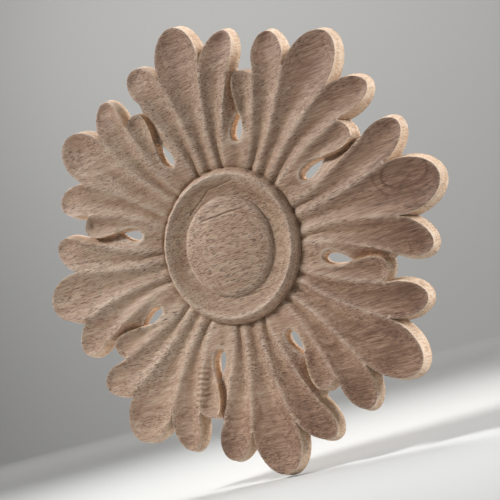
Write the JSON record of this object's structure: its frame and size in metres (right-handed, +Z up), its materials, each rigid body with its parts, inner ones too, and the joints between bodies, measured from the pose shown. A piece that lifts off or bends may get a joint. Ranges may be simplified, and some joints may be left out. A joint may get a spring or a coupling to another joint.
{
  "type": "carved wooden rosette",
  "caption": "Round carved wood appliqué: fluted lobed leaves around a raised ring with a low dome, teardrop eyes between the leaves and a flat back.",
  "frame": {"origin": "centre of the flat back, which is fixed to the surface behind it", "axes": "+Y out of the back, into the surface behind; the carved front faces -Y; +Z up through the middle of a three-lobe leaf"},
  "size_m": [0.2, 0.0074, 0.2],
  "materials": {
    "wood": "bare sanded hardwood with dark pores along the grain"
  },
  "bodies": {
    "root": {"rosette": "wood"}
  },
  "joints": []
}
